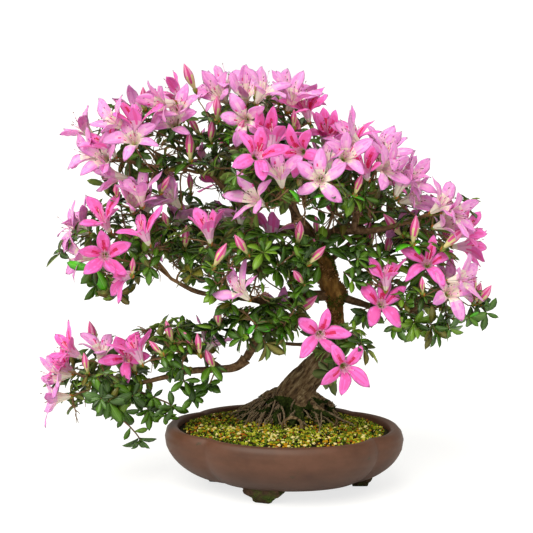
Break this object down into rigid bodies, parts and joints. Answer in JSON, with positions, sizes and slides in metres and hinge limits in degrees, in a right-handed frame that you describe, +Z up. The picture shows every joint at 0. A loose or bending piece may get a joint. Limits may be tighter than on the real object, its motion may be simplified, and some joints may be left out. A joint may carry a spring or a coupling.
{
  "type": "potted azalea bonsai",
  "caption": "Miniature azalea tree in bloom, with a leaning trunk over surface roots, tiered masses of leaves and star-shaped flowers, in a shallow lobed clay pot.",
  "frame": {"origin": "under the middle of the plant's box, on the level that the pot's feet stand on", "axes": "+Z up, +X to the right as the plant is shown, from the low left bough toward the pot's side, +Y to the back"},
  "size_m": [0.4616, 0.2425, 0.4281],
  "materials": {
    "pot_clay": "unglazed red-brown stoneware, matt with a faint sheen",
    "soil_mix": "loose grains with scraps of moss",
    "trunk_bark": "grey-brown fissured bark",
    "bough_bark": "dark brown bark",
    "blooming_foliage": "glossy green leaves with pink blossom"
  },
  "bodies": {
    "root": {"pot": "pot_clay", "pot_foot_front": "pot_clay", "pot_foot_right": "pot_clay", "pot_foot_left": "pot_clay", "pot_foot_back": "pot_clay", "soil": "soil_mix", "trunk": "trunk_bark", "bough_low_left_fall": "bough_bark", "bough_low_left_run": "bough_bark", "bough_low_left_spur": "bough_bark", "bough_left": "bough_bark", "bough_low_centre": "bough_bark", "bough_centre_front": "bough_bark", "bough_top_left": "bough_bark", "bough_top": "bough_bark", "bough_top_front": "bough_bark", "bough_right": "bough_bark", "bough_right_up": "bough_bark", "bough_right_low": "bough_bark", "bough_back": "bough_bark", "bough_back_left": "bough_bark", "bough_back_right": "bough_bark", "mass_crown_top": "blooming_foliage", "mass_crown_left": "blooming_foliage", "mass_crown_right": "blooming_foliage", "mass_crown_front": "blooming_foliage", "mass_crown_back": "blooming_foliage", "mass_far_right": "blooming_foliage", "mass_right_middle": "blooming_foliage", "mass_back_right": "blooming_foliage", "mass_centre_front": "blooming_foliage", "mass_left_middle": "blooming_foliage", "mass_back_left": "blooming_foliage", "mass_low_left_outer": "blooming_foliage", "mass_low_left_inner": "blooming_foliage", "mass_low_centre": "blooming_foliage", "mass_trunk_spray": "blooming_foliage"}
  },
  "joints": []
}
